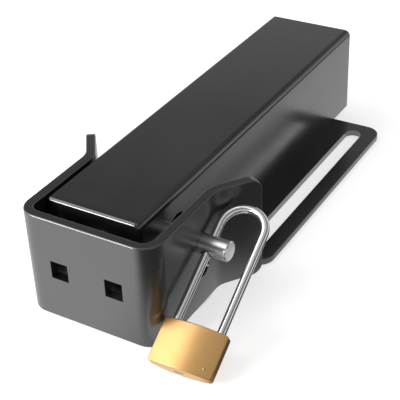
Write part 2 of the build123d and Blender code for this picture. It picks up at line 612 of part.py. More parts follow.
def solenoid_coil():
    """Wound coil on the spool."""
    length = BOBBIN_LENGTH - 2 * BOBBIN_FLANGE_T - 2 * COIL_CLEARANCE
    start = SOLENOID_MID_Y - length / 2
    coil = long_rod(COIL_D / 2, start, length, 0, LINK_Z)
    return coil - long_rod(BOBBIN_TUBE_R + COIL_CLEARANCE, start - CUT, length + 2 * CUT, 0, LINK_Z)


def solenoid_plunger():
    """Steel plunger with a flat tongue that enters the hook's fork."""
    front_y = PIVOT_Y + PLUNGER_BEHIND_PIVOT
    plunger = long_rod(PLUNGER_D / 2, front_y, PLUNGER_LENGTH, 0, LINK_Z)
    plunger += block(TONGUE_T, PIVOT_Y, front_y, LINK_Z - TONGUE_REACH, LINK_Z + TONGUE_REACH)
    plunger += cross_rod(TONGUE_REACH, -TONGUE_T / 2, TONGUE_T, PIVOT_Y, LINK_Z)
    return plunger - cross_rod(LINK_PIN_D / 2 + PIVOT_CLEARANCE, -TONGUE_T, 2 * TONGUE_T, PIVOT_Y, LINK_Z)


def link_pin():
    """Cross pin that joins the plunger's tongue to the hook's fork."""
    return cross_rod(LINK_PIN_D / 2, -HOOK_T / 2, HOOK_T, PIVOT_Y, LINK_Z)


def terminal_screw_places():
    """Centres of the two terminal screws."""
    y = TERMINAL_FRONT_Y + TERMINAL_LENGTH / 2
    return [(side * TERMINAL_PITCH / 2, y) for side in (-1, 1)]


def terminal_block():
    """Two-pole terminal block on the carrier's cable end."""
    top = CARRIER_TOP_Z + TERMINAL_HEIGHT
    rear_y = TERMINAL_FRONT_Y + TERMINAL_LENGTH
    body = block(TERMINAL_WIDTH, TERMINAL_FRONT_Y, rear_y, CARRIER_TOP_Z, top)
    hole_r = TERMINAL_SCREW_D / 2 + SCREW_CLEARANCE
    for x, y in terminal_screw_places():
        body -= upright_rod(hole_r, top - TERMINAL_SCREW_T, TERMINAL_SCREW_T + CUT, x, y)
    return body


def terminal_screws():
    """Slotted brass clamp screws, flush with the block's top."""
    top = CARRIER_TOP_Z + TERMINAL_HEIGHT
    low = top - TERMINAL_SCREW_T
    heads = []
    for x, y in terminal_screw_places():
        head = upright_rod(TERMINAL_SCREW_D / 2, low, TERMINAL_SCREW_T, x, y)
        slot = Pos(x, y, top - TERMINAL_SLOT / 2) * Box(TERMINAL_SCREW_D, TERMINAL_SLOT, TERMINAL_SLOT)
        heads.append(head - slot)
    return Compound(children=heads)


def coil_leads():
    """Two insulated leads from the spool's rear flange, past the frame, to the terminal block."""
    side_x = SOLENOID_WIDTH / 2 + LEAD_SIDE_GAP + LEAD_D / 2
    mid_y = (SOLENOID_REAR_Y + TERMINAL_FRONT_Y) / 2
    low_z = CARRIER_TOP_Z + TERMINAL_HEIGHT / 2
    leads = []
    for side in (-1, 1):
        points = [
            (side * side_x, BOBBIN_REAR_Y, LINK_Z),
            (side * side_x, mid_y, LINK_Z),
            (side * TERMINAL_PITCH / 2, mid_y, low_z),
            (side * TERMINAL_PITCH / 2, TERMINAL_FRONT_Y, low_z),
        ]
        path = FilletPolyline(*points, radius=LEAD_BEND_R)
        start = Plane(origin=points[0], z_dir=(0, 1, 0))
        leads.append(sweep(start * Circle(LEAD_D / 2), path=path))
    return Compound(children=leads)


NODES = {
    "base_plate": base_plate,
    "lock_tube": lock_tube,
    "throat_guide": throat_guide,
    "rear_plug": rear_plug,
    "cable_grommet": cable_grommet,
    "receiver_strap": receiver_strap,
    "clevis_pin": clevis_pin,
    "padlock_case": padlock_case,
    "padlock_shackle": padlock_shackle,
    "padlock_key_plug": padlock_key_plug,
    "padlock_dog": padlock_dog,
    "hook_latch": hook_latch,
    "hook_pivot": hook_pivot,
    "hook_spacers": hook_spacers,
    "hook_spring": hook_spring,
    "carrier": carrier,
    "carrier_screws": carrier_screws,
    "solenoid_frame": solenoid_frame,
    "solenoid_bobbin": solenoid_bobbin,
    "solenoid_coil": solenoid_coil,
    "solenoid_plunger": solenoid_plunger,
    "link_pin": link_pin,
    "terminal_block": terminal_block,
    "terminal_screws": terminal_screws,
    "coil_leads": coil_leads,
}

os.makedirs("parts", exist_ok=True)
for name, make in NODES.items():
    export_step(make(), f"parts/{name}.step")
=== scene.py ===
import bpy
import bmesh
import numpy as np
from mathutils import Matrix, Vector


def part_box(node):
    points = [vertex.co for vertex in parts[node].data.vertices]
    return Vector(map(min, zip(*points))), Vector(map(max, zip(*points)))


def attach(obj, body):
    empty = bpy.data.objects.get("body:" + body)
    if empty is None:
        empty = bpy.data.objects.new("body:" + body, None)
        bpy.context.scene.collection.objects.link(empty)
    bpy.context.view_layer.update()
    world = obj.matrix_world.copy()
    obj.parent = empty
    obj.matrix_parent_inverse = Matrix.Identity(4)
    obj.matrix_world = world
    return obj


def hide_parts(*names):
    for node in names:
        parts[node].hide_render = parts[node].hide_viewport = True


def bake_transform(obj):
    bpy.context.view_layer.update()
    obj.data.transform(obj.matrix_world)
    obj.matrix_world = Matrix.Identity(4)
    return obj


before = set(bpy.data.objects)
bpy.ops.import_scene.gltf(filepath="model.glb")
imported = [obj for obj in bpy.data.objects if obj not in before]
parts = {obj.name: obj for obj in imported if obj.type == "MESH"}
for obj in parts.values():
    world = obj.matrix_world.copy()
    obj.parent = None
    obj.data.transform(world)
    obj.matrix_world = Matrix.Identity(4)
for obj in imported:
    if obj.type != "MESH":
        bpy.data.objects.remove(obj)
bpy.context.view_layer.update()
MM = 0.001

# Studio. A white floor and a white surround with a dim ceiling, one large softbox above the front left
# and one low softbox in front. In reflections the floor carries painted light and shade: painted shade dims
# it at the right and darkens it inside the receiver.
scene = bpy.context.scene
scene.view_settings.view_transform = "Standard"
CAMERA_PLACE = np.array([289.578, -519.169, 366.701]) * MM
CAMERA_AZIMUTH, CAMERA_ELEVATION, CAMERA_ROLL = np.radians([31.66, 33.16, -2.472])
camera_back = np.array([np.sin(CAMERA_AZIMUTH) * np.cos(CAMERA_ELEVATION),
                        -np.cos(CAMERA_AZIMUTH) * np.cos(CAMERA_ELEVATION), np.sin(CAMERA_ELEVATION)])
level_right = np.cross([0.0, 0.0, 1.0], camera_back)
level_right /= np.linalg.norm(level_right)
level_up = np.cross(camera_back, level_right)
camera_right = np.cos(CAMERA_ROLL) * level_right + np.sin(CAMERA_ROLL) * level_up
camera_up = np.cos(CAMERA_ROLL) * level_up - np.sin(CAMERA_ROLL) * level_right
camera_data = bpy.data.cameras.new("camera")
camera_data.sensor_width, camera_data.lens = 36.0, 95.46
camera_data.clip_start = 0.01
camera = bpy.data.objects.new("camera", camera_data)
turn = np.eye(4)
turn[:3, 0], turn[:3, 1], turn[:3, 2], turn[:3, 3] = camera_right, camera_up, camera_back, CAMERA_PLACE
camera.matrix_world = Matrix(turn.tolist())
scene.collection.objects.link(camera)
scene.camera = camera


def softbox(name, place, target, width, height, watts):
    """A rectangular lamp at place that faces target, unseen by the camera itself."""
    data = bpy.data.lights.new(name, "AREA")
    data.shape = "RECTANGLE"
    data.size, data.size_y, data.energy = width, height, watts
    lamp = bpy.data.objects.new(name, data)
    lamp.location = place
    lamp.rotation_euler = (Vector(target) - Vector(place)).to_track_quat("-Z", "Y").to_euler()
    lamp.visible_camera = False
    scene.collection.objects.link(lamp)


softbox("left_softbox", (-0.95, -0.45, 1.15), (0.0, -0.15, 0.03), width=1.2, height=1.2, watts=9.6)
softbox("front_softbox", (-0.80, -1.38, 0.50), (0.0, -0.12, 0.04), width=0.6, height=0.45, watts=17.0)


def node(tree, kind, **values):
    """One node with its input sockets set by name: spaces in a socket's name are written as underscores."""
    made = tree.nodes.new(kind)
    for key, value in values.items():
        made.inputs[key.replace("_", " ")].default_value = value
    return made


def join(tree, source, output, target, socket):
    """A link between two sockets, each given by its name or its number."""
    tree.links.new(source.outputs[output], target.inputs[socket])


def combine(tree, operation, first, first_output, second, second_output):
    """One Math node that takes two outputs."""
    made = node(tree, "ShaderNodeMath")
    made.operation = operation
    join(tree, first, first_output, made, 0)
    join(tree, second, second_output, made, 1)
    return made


def measure(tree, operation, place, fixed):
    """A vector measure of the surface's own place against a fixed vector: a distance or a dot product."""
    made = node(tree, "ShaderNodeVectorMath")
    made.operation = operation
    made.inputs[1].default_value = fixed
    join(tree, place, "Object", made, 0)
    return made


def choose(tree, mask, output, low, high):
    """A shader that goes from low to high with a mask."""
    made = node(tree, "ShaderNodeMixShader")
    join(tree, mask, output, made, "Fac")
    join(tree, low, 0, made, 1)
    join(tree, high, 0, made, 2)
    return made


# Surround: white to the camera, a ramp by height in reflections, and one plain level as light on the object.
CEILING_STOPS = ((0.0, 1.0), (0.06, 1.0), (0.40, 0.36), (0.56, 0.09), (0.75, 0.20), (0.88, 0.45), (1.0, 0.60))
AMBIENT = 0.45
WHITE = (1.0, 1.0, 1.0, 1.0)
world = bpy.data.worlds.new("studio")
world.use_nodes = True
scene.world = world
tree = world.node_tree
tree.nodes.clear()
path = node(tree, "ShaderNodeLightPath")
seen = combine(tree, "MAXIMUM", path, "Is Camera Ray", path, "Is Glossy Ray")
seen = combine(tree, "MAXIMUM", seen, 0, path, "Is Transmission Ray")
direction = node(tree, "ShaderNodeTexCoord")
height = node(tree, "ShaderNodeSeparateXYZ")
join(tree, direction, "Generated", height, "Vector")
ceiling = node(tree, "ShaderNodeValToRGB")
for stop in CEILING_STOPS[1:-1]:
    ceiling.color_ramp.elements.new(stop[0])
for stop, (spot, level) in zip(ceiling.color_ramp.elements, CEILING_STOPS):
    stop.position, stop.color = spot, (level, level, level, 1.0)
join(tree, height, "Z", ceiling, "Fac")
surround = node(tree, "ShaderNodeBackground")
join(tree, ceiling, "Color", surround, "Color")
white = node(tree, "ShaderNodeBackground", Color=WHITE, Strength=1.0)
ambient = node(tree, "ShaderNodeBackground", Color=WHITE, Strength=AMBIENT)
reflected = choose(tree, seen, 0, ambient, surround)
shown = choose(tree, path, "Is Camera Ray", reflected, white)
world_output = node(tree, "ShaderNodeOutputWorld")
join(tree, shown, 0, world_output, "Surface")

# Floor: matt white with a glow to the camera alone, left out inside the receiver as a painted shadow. In
# reflections
# it carries painted light and shade: painted shade falls off to the right, painted light makes it a little
# brighter in front, two spots of painted bounce light lie by the padlock and the slot, and a painted shadow
# darkens it inside the receiver.
FLOOR_HALF, FLOOR_Z = 3.0, -0.0004
FLOOR_WHITE = (0.86, 0.86, 0.86, 1.0)
CAMERA_GLOW = 0.58
# Painted shadow: inside this disc round the receiver's middle the floor has no glow, to the camera or in
# reflections.
RECEIVER_MIDDLE, RECEIVER_NEAR, RECEIVER_FAR = (0.0035, -0.127, 0.0), 0.0435, 0.0465
# Painted shade and light in reflections: the floor's glow falls off towards the right along this direction,
# down to the right shade level, and is a little brighter in front.
FALL_DIRECTION, FALL_RIGHT, FALL_LEFT, RIGHT_SHADE_LEVEL = (-1.0, 0.2, 0.0), -0.125, -0.04, 0.10
FRONT_Y, BACK_Y, FRONT_LEVEL, BACK_LEVEL = -0.20, 0.05, 1.22, 0.92
# Two spots of painted bounce light in reflections, by the padlock and by the slot: centre, full radius, outer
# radius.
PAINTED_BOUNCE_SPOTS = (((0.064, -0.188, 0.0), 0.014, 0.030), ((0.092, -0.083, 0.0), 0.009, 0.016))
floor_mesh = bpy.data.meshes.new("floor")
floor_corners = [(x * FLOOR_HALF, y * FLOOR_HALF, FLOOR_Z) for x, y in ((-1, -1), (1, -1), (1, 1), (-1, 1))]
floor_mesh.from_pydata(floor_corners, [], [(0, 1, 2, 3)])
floor = bpy.data.objects.new("floor", floor_mesh)
scene.collection.objects.link(floor)
floor_paint = bpy.data.materials.new("floor_paint")
floor_paint.use_nodes = True
tree = floor_paint.node_tree
tree.nodes.clear()
path = node(tree, "ShaderNodeLightPath")
place = node(tree, "ShaderNodeTexCoord")
reach = measure(tree, "DISTANCE", place, RECEIVER_MIDDLE)
unshaded_floor = node(tree, "ShaderNodeMapRange", From_Min=RECEIVER_NEAR, From_Max=RECEIVER_FAR)
join(tree, reach, "Value", unshaded_floor, "Value")
lift = node(tree, "ShaderNodeMath")
lift.operation = "MULTIPLY"
lift.inputs[1].default_value = CAMERA_GLOW
join(tree, path, "Is Camera Ray", lift, 0)
# The camera glow is left out inside the receiver: a painted shadow.
outside = combine(tree, "MULTIPLY", lift, 0, unshaded_floor, "Result")
matt = node(tree, "ShaderNodeBsdfDiffuse", Color=FLOOR_WHITE)
glow = node(tree, "ShaderNodeEmission", Color=WHITE)
join(tree, outside, 0, glow, "Strength")
both = node(tree, "ShaderNodeAddShader")
join(tree, matt, 0, both, 0)
join(tree, glow, 0, both, 1)
across = measure(tree, "DOT_PRODUCT", place, FALL_DIRECTION)
depth = node(tree, "ShaderNodeSeparateXYZ")
join(tree, place, "Object", depth, "Vector")
# Painted light: the mirrored floor is a little brighter in front.
front_lit = node(tree, "ShaderNodeMapRange", From_Min=FRONT_Y, From_Max=BACK_Y,
                 To_Min=FRONT_LEVEL, To_Max=BACK_LEVEL)
join(tree, depth, "Y", front_lit, "Value")
# Painted shade: the mirrored floor darkens towards the right.
lit = node(tree, "ShaderNodeMapRange", From_Min=FALL_RIGHT, From_Max=FALL_LEFT, To_Min=RIGHT_SHADE_LEVEL)
lit.interpolation_type = "SMOOTHSTEP"
join(tree, front_lit, "Result", lit, "To Max")
join(tree, across, "Value", lit, "Value")
# Painted bounce light: the mirrored floor is paler round each spot.
for spot, near, far in PAINTED_BOUNCE_SPOTS:
    away = measure(tree, "DISTANCE", place, spot)
    pale = node(tree, "ShaderNodeMapRange", From_Min=near, From_Max=far, To_Min=1.0, To_Max=0.0)
    join(tree, away, "Value", pale, "Value")
    lit = combine(tree, "MAXIMUM", lit, 0, pale, "Result")
# Painted shadow: the mirrored floor is dark inside the receiver too.
open_lit = combine(tree, "MULTIPLY", lit, 0, unshaded_floor, "Result")
mirrored = node(tree, "ShaderNodeEmission", Color=WHITE)
join(tree, open_lit, 0, mirrored, "Strength")
shown = choose(tree, path, "Is Glossy Ray", both, mirrored)
floor_output = node(tree, "ShaderNodeOutputMaterial")
join(tree, shown, 0, floor_output, "Surface")
floor_paint.cycles.emission_sampling = "NONE"
floor.data.materials.append(floor_paint)

# Base plate, lock tube and receiver strap. Flat steel cut and bent, the plate with a long bolt slot each
# side, sprayed with a black satin coat after welding. The coat has a fine orange peel, cloudy gloss and
# thinner, paler edges.
PEEL_DEPTH = 0.0000015
SMOOTHER, ROUGHER = 0.04, 0.05


def socket_group(name, inputs, outputs):
    """An empty node group with its named sockets: a type for each, and a first value for an input."""
    group = bpy.data.node_groups.new(name, "ShaderNodeTree")
    for label, kind, value in inputs:
        made = group.interface.new_socket(name=label, in_out="INPUT", socket_type=kind)
        if value is not None:
            made.default_value = value
    for label, kind in outputs:
        group.interface.new_socket(name=label, in_out="OUTPUT", socket_type=kind)
    return group, group.nodes.new("NodeGroupInput"), group.nodes.new("NodeGroupOutput")


# Coat skin: a slow cloud and a fine peel, both from the surface's own place.
coat_skin, enter, leave = socket_group(
    "coat_skin",
    [("Cloud Scale", "NodeSocketFloat", 14.0), ("Peel Scale", "NodeSocketFloat", 900.0)],
    [("Cloud", "NodeSocketFloat"), ("Peel", "NodeSocketFloat")])
place = node(coat_skin, "ShaderNodeTexCoord")
for label, detail in (("Cloud", 5.0), ("Peel", 2.0)):
    noise = node(coat_skin, "ShaderNodeTexNoise", Detail=detail, Roughness=0.55)
    join(coat_skin, place, "Object", noise, "Vector")
    join(coat_skin, enter, label + " Scale", noise, "Scale")
    join(coat_skin, noise, "Fac", leave, label)

# Edge wear: how far a rounded-over normal leaves the true one, broken up by a noise.
edge_wear, enter, leave = socket_group(
    "edge_wear",
    [("Radius", "NodeSocketFloat", 0.0008), ("Break Scale", "NodeSocketFloat", 120.0)],
    [("Edge", "NodeSocketFloat")])
rounded = node(edge_wear, "ShaderNodeBevel")
rounded.samples = 6
join(edge_wear, enter, "Radius", rounded, "Radius")
true_face = node(edge_wear, "ShaderNodeNewGeometry")
agree = node(edge_wear, "ShaderNodeVectorMath")
agree.operation = "DOT_PRODUCT"
join(edge_wear, rounded, "Normal", agree, 0)
join(edge_wear, true_face, "Normal", agree, 1)
turned = node(edge_wear, "ShaderNodeMapRange", From_Min=0.995, From_Max=0.85)
join(edge_wear, agree, "Value", turned, "Value")
place = node(edge_wear, "ShaderNodeTexCoord")
noise = node(edge_wear, "ShaderNodeTexNoise", Detail=4.0)
join(edge_wear, place, "Object", noise, "Vector")
join(edge_wear, enter, "Break Scale", noise, "Scale")
gaps = node(edge_wear, "ShaderNodeMapRange", From_Min=0.35, From_Max=0.65)
join(edge_wear, noise, "Fac", gaps, "Value")
worn = combine(edge_wear, "MULTIPLY", turned, "Result", gaps, "Result")
join(edge_wear, worn, 0, leave, "Edge")


def finish_of(name):
    """A new material with its shader, and its node tree."""
    made = bpy.data.materials.new(name)
    made.use_nodes = True
    return made, made.node_tree, made.node_tree.nodes["Principled BSDF"]


def use(tree, group, **values):
    """A node group placed in a material with its own values."""
    made = tree.nodes.new("ShaderNodeGroup")
    made.node_tree = group
    for key, value in values.items():
        made.inputs[key.replace("_", " ")].default_value = value
    return made


def blend_colours(tree, mask, output, low, high):
    """A colour that goes from low to high with a mask; low is a colour or another colour node's output."""
    mixed = tree.nodes.new("ShaderNodeMix")
    mixed.data_type = "RGBA"
    join(tree, mask, output, mixed, 0)
    if isinstance(low, tuple):
        mixed.inputs[6].default_value = (*low, 1.0)
    else:
        tree.links.new(low, mixed.inputs[6])
    mixed.inputs[7].default_value = (*high, 1.0)
    return mixed.outputs[2]


def spread(tree, mask, output, low, high):
    """A mask stretched to run from low to high."""
    made = node(tree, "ShaderNodeMapRange", From_Min=0.3, From_Max=0.7, To_Min=low, To_Max=high)
    join(tree, mask, output, made, "Value")
    return made


def relief(tree, shader, mask, output, depth):
    """A bump of that depth in metres."""
    bump = node(tree, "ShaderNodeBump", Strength=1.0, Distance=depth)
    join(tree, mask, output, bump, "Height")
    join(tree, bump, "Normal", shader, "Normal")


def coated(name, dark, pale, worn_colour, gloss, peel, edge_radius, index=1.5):
    """A sprayed or moulded finish: cloudy colour and gloss, a fine peel and paler edges."""
    made, tree, shader = finish_of(name)
    shader.inputs["IOR"].default_value = index
    skin = use(tree, coat_skin, Peel_Scale=peel)
    edge = use(tree, edge_wear, Radius=edge_radius)
    colour = blend_colours(tree, skin, "Cloud", dark, pale)
    colour = blend_colours(tree, edge, "Edge", colour, worn_colour)
    tree.links.new(colour, shader.inputs["Base Color"])
    rough = spread(tree, skin, "Cloud", gloss - SMOOTHER, gloss + ROUGHER)
    join(tree, rough, "Result", shader, "Roughness")
    relief(tree, shader, skin, "Peel", PEEL_DEPTH)
    return made


def dress(names, material):
    """Gives CAD pieces a material in place of the one they came with."""
    for name in names:
        mesh = parts[name].data
        mesh.materials.clear()
        mesh.materials.append(material)


black_coat = coated("black_coat", (0.006, 0.006, 0.0062), (0.010, 0.010, 0.0102), (0.016, 0.016, 0.0162),
                    gloss=0.23, peel=900.0, edge_radius=0.0007, index=2.2)
dress(["base_plate", "lock_tube", "receiver_strap"], black_coat)

# Weld beads. Fillet welds under the coat hold the plate to the tube: one across each end of the plate,
# and three short stitches along the tube's left side. Each bead is a rippled quarter round.
BEAD_LEG, BEAD_FILL, BEAD_INSET = 2.6, 0.86, 5.0
RIPPLE, RIPPLE_PITCH, STATIONS_PER_MM = 0.10, 2.2, 3
STITCH_LENGTH, STITCH_STARTS = 24.0, (-58.0, -12.0, 36.0)
MERGE, SLIVER, CREASE = 1e-7, 1e-8, np.radians(50)


def surface(name, points, close_u=False, close_v=False):
    """A mesh from a grid of points of shape (u, v, 3): one quad for each cell, ends of closed rows joined."""
    rows, columns = points.shape[:2]
    u = np.arange(rows if close_u else rows - 1)
    v = np.arange(columns if close_v else columns - 1)
    i, j = [a.ravel() for a in np.meshgrid(u, v, indexing="ij")]
    i2, j2 = (i + 1) % rows, (j + 1) % columns
    quads = np.stack([i * columns + j, i2 * columns + j, i2 * columns + j2, i * columns + j2], axis=1)
    mesh = bpy.data.meshes.new(name)
    mesh.from_pydata(points.reshape(-1, 3).tolist(), [], quads.tolist())
    shape = bmesh.new()
    shape.from_mesh(mesh)
    bmesh.ops.remove_doubles(shape, verts=shape.verts, dist=MERGE)
    bmesh.ops.dissolve_degenerate(shape, edges=shape.edges, dist=SLIVER)
    bmesh.ops.recalc_face_normals(shape, faces=shape.faces)
    shape.to_mesh(mesh)
    shape.free()
    mesh.shade_smooth()
    mesh.set_sharp_from_angle(angle=CREASE)
    piece = bpy.data.objects.new(name, mesh)
    scene.collection.objects.link(piece)
    return piece


def weld_bead(name, start, end, side, down):
    """A quarter-round fillet from start to end: at each station the section is a corner, then an arc between
    the side and down directions. The arc's radius is the leg, filled in part, times one plus a ripple, and it
    falls to zero at both ends as a square root."""
    start, end, side, down = [np.array(a, float) * MM for a in (start, end, side, down)]
    length = np.linalg.norm(end - start)
    stations = np.linspace(0.0, 1.0, int(length / MM * STATIONS_PER_MM) + 2)
    ripple = 1.0 + RIPPLE * np.abs(np.sin(stations * length / (RIPPLE_PITCH * MM) * np.pi))
    taper = np.clip(np.minimum(stations, 1.0 - stations) * length / (BEAD_LEG * MM), 0.0, 1.0) ** 0.5
    arc = np.linspace(0.0, np.pi / 2, 9)
    radius = BEAD_LEG * ripple * taper
    along = start + (end - start) * stations[:, None]
    arms = np.cos(arc)[:, None] * side + np.sin(arc)[:, None] * down
    corner = np.zeros((1, 3))
    section = np.concatenate([corner, BEAD_FILL * arms])
    return surface(name, along[:, None, :] + radius[:, None, None] * section[None, :, :], close_v=True)


plate_low, plate_high = [np.array(c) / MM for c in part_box("base_plate")]
tube_low, tube_high = [np.array(c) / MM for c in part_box("lock_tube")]
bead_half = (tube_high[0] - tube_low[0]) / 2 - BEAD_INSET
bead_z = plate_high[2]
beads = [
    weld_bead(name, (-bead_half, y, bead_z), (bead_half, y, bead_z), (0, outward, 0), (0, 0, -1))
    for name, y, outward in (("weld_rear", plate_high[1], 1), ("weld_front", plate_low[1], -1))
]
beads += [
    weld_bead(f"weld_stitch_{number}", (tube_low[0], y, bead_z), (tube_low[0], y + STITCH_LENGTH, bead_z),
              (-1, 0, 0), (0, 0, 1))
    for number, y in enumerate(STITCH_STARTS)
]
for bead in beads:
    bead.data.materials.append(black_coat)
    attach(bead, "lock")

# Throat guide. A black glossy moulding pushed into the tube's front end: its rounded rim closes the edge
# of the tube and its cheeks line the slot that the pin enters.
guide_plastic = coated("guide_plastic", (0.010, 0.010, 0.010), (0.014, 0.014, 0.014), (0.030, 0.030, 0.030),
                       gloss=0.20, peel=500.0, edge_radius=0.0003, index=2.0)
dress(["throat_guide"], guide_plastic)

# Hook latch, pivot, spacers and link. Machined from tool steel, with fine tool marks and a thin film of oil
# that is darker in patches; the pivot and link pins are turned from the same bar.
# The spacers are bronze, and the padlock's dog and the solenoid's plunger have the steel's finish too.

# Brushed: fine lines along a stretched place, and slow stains from the surface's own place.
brushed, enter, leave = socket_group(
    "brushed",
    [("Vector", "NodeSocketVector", None), ("Line Scale", "NodeSocketFloat", 1.0)],
    [("Lines", "NodeSocketFloat"), ("Stains", "NodeSocketFloat")])
fine = node(brushed, "ShaderNodeTexNoise", Detail=3.0, Roughness=0.7)
join(brushed, enter, "Vector", fine, "Vector")
join(brushed, enter, "Line Scale", fine, "Scale")
join(brushed, fine, "Fac", leave, "Lines")
place = node(brushed, "ShaderNodeTexCoord")
stain = node(brushed, "ShaderNodeTexNoise", Scale=70.0, Detail=5.0, Roughness=0.6)
join(brushed, place, "Object", stain, "Vector")
join(brushed, stain, "Fac", leave, "Stains")


def metal(name, dark, pale, gloss, grain, turn=(0.0, 0.0, 0.0), depth=0.000004, vary=0.06):
    """A bare or plated metal: lines that run along the axis with the lowest grain figure, after a turn, in
    its gloss and relief, and stains in its colour."""
    made, tree, shader = finish_of(name)
    place = node(tree, "ShaderNodeTexCoord")
    turned = node(tree, "ShaderNodeMapping", Rotation=turn)
    turned.vector_type = "TEXTURE"
    join(tree, place, "Object", turned, "Vector")
    stretched = node(tree, "ShaderNodeMapping", Scale=grain)
    join(tree, turned, "Vector", stretched, "Vector")
    lines = use(tree, brushed)
    join(tree, stretched, "Vector", lines, "Vector")
    colour = blend_colours(tree, lines, "Stains", dark, pale)
    tree.links.new(colour, shader.inputs["Base Color"])
    rough = spread(tree, lines, "Lines", gloss - vary, gloss + vary)
    join(tree, rough, "Result", shader, "Roughness")
    shader.inputs["Metallic"].default_value = 1.0
    relief(tree, shader, lines, "Lines", depth)
    return made


tool_steel = metal("tool_steel", (0.30, 0.30, 0.31), (0.44, 0.44, 0.45),
                   gloss=0.36, grain=(2200.0, 160.0, 2200.0))
dress(["hook_latch", "hook_pivot", "link_pin", "padlock_dog", "solenoid_plunger"], tool_steel)
spacer_bronze = metal("spacer_bronze", (0.42, 0.27, 0.14), (0.56, 0.38, 0.20),
                      gloss=0.38, grain=(2200.0, 200.0, 200.0))
dress(["hook_spacers"], spacer_bronze)

# Return spring. Hard drawn wire with a bluish film, coiled with closed ends. Its foot sits on the carrier.
WIRE_R, SPRING_TURNS = 0.45, 6
STATIONS_PER_TURN, POINTS_ROUND = 40, 16


def wire_coil(name, middle, mean_r, wire_r, low, high, turns):
    """A round wire on a helix: the angle grows evenly, and the height climbs evenly between a first and a
    last turn that are closed up. A circle of the wire's radius, shut to a point at both ends, is carried
    along."""
    stations = np.linspace(0.0, turns, turns * STATIONS_PER_TURN + 1)
    stations = np.concatenate([stations[:1], stations, stations[-1:]])
    foot, head = low + wire_r, high - wire_r
    height = np.interp(stations, [0.0, 1.0, turns - 1.0, turns],
                       [foot, foot + 2 * wire_r, head - 2 * wire_r, head])
    angle = stations * 2 * np.pi
    outward = np.stack([np.cos(angle), np.sin(angle), np.zeros_like(angle)], axis=1)
    path = mean_r * outward
    path[:, :2] += middle
    path[:, 2] = height
    thick = np.full_like(stations, wire_r)
    thick[[0, -1]] = 0.0
    around = np.arange(POINTS_ROUND)[None, :, None] / POINTS_ROUND * 2 * np.pi
    upward = np.array([0.0, 0.0, 1.0])
    ring = np.cos(around) * outward[:, None, :] + np.sin(around) * upward
    return surface(name, (path[:, None, :] + thick[:, None, None] * ring) * MM, close_v=True)


spring_low, spring_high = [np.array(c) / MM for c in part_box("hook_spring")]
spring_middle = (spring_low[:2] + spring_high[:2]) / 2
coil_spring = wire_coil("coil_spring", spring_middle, (spring_high[0] - spring_low[0]) / 2 - WIRE_R, WIRE_R,
                        spring_low[2], spring_high[2], SPRING_TURNS)
spring_steel = metal("spring_steel", (0.36, 0.37, 0.40), (0.52, 0.53, 0.56),
                     gloss=0.28, grain=(900.0, 900.0, 2600.0))
coil_spring.data.materials.append(spring_steel)
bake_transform(coil_spring)
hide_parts("hook_spring")

# Carrier, its screws and the solenoid's strap frame. Sheet steel with a pale zinc plate, cut and folded;
# countersunk screws from below hold the carrier in the tube.
zinc_sheet = metal("zinc_sheet", (0.50, 0.51, 0.53), (0.66, 0.67, 0.68),
                   gloss=0.34, grain=(400.0, 60.0, 400.0))
dress(["carrier", "carrier_screws", "solenoid_frame"], zinc_sheet)

# Solenoid spool and coil. The spool is a moulded nylon; the coil is enamelled copper wire wound in close
# turns and taped over, so its outside shows the turns as low ridges.
WIRE_PITCH, RIDGE_HEIGHT = 0.9, 0.28
COIL_BORE_R = 8.6


def turned_shape(name, profile, centre, segments):
    """A shape turned about an axis along +Y: each profile point gives a radius and a place along the axis,
    carried round a full circle of segments."""
    profile = np.array(profile, float)
    angle = np.arange(segments) / segments * 2 * np.pi
    ring = np.stack([np.cos(angle), np.zeros(segments), np.sin(angle)], axis=1)
    points = profile[:, 0][:, None, None] * ring[None, :, :]
    points[:, :, 1] += profile[:, 1][:, None]
    return surface(name, (points + np.array(centre, float)) * MM, close_v=True)


coil_low, coil_high = [np.array(c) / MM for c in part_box("solenoid_coil")]
coil_centre = (coil_low + coil_high) / 2
coil_r = (coil_high[0] - coil_low[0]) / 2
coil_y = np.linspace(coil_low[1], coil_high[1], 420)
ridges = coil_r - RIDGE_HEIGHT * (1.0 - np.abs(np.sin((coil_y - coil_low[1]) / WIRE_PITCH * np.pi)))
coil_profile = np.concatenate([
    [[COIL_BORE_R, coil_low[1]]], np.stack([ridges, coil_y], axis=1), [[COIL_BORE_R, coil_high[1]]]])
coil_profile = np.concatenate([coil_profile, coil_profile[:1]])
coil_winding = turned_shape("coil_winding", coil_profile, (coil_centre[0], 0.0, coil_centre[2]), segments=72)
coil_wrap = coated("coil_wrap", (0.34, 0.19, 0.05), (0.44, 0.26, 0.07), (0.55, 0.36, 0.12),
                   gloss=0.30, peel=700.0, edge_radius=0.0002)
coil_winding.data.materials.append(coil_wrap)
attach(coil_winding, "lock")
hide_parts("solenoid_coil")
bobbin_plastic = coated("bobbin_plastic", (0.62, 0.60, 0.54), (0.70, 0.68, 0.62), (0.78, 0.77, 0.72),
                        gloss=0.42, peel=600.0, edge_radius=0.0003)
dress(["solenoid_bobbin"], bobbin_plastic)

# Terminal block and leads. A two-pole block of grey nylon with brass clamp screws, and two leads in a
# smooth red insulation.
terminal_plastic = coated("terminal_plastic", (0.20, 0.21, 0.22), (0.26, 0.27, 0.28), (0.36, 0.37, 0.38),
                          gloss=0.40, peel=600.0, edge_radius=0.0003)
dress(["terminal_block"], terminal_plastic)
lead_insulation = coated("lead_insulation", (0.40, 0.03, 0.02), (0.48, 0.05, 0.03), (0.55, 0.09, 0.06),
                         gloss=0.30, peel=500.0, edge_radius=0.0002)
dress(["coil_leads"], lead_insulation)
plug_brass = metal("plug_brass", (0.62, 0.43, 0.18), (0.80, 0.60, 0.30),
                   gloss=0.28, grain=(1800.0, 1800.0, 200.0))
dress(["terminal_screws"], plug_brass)

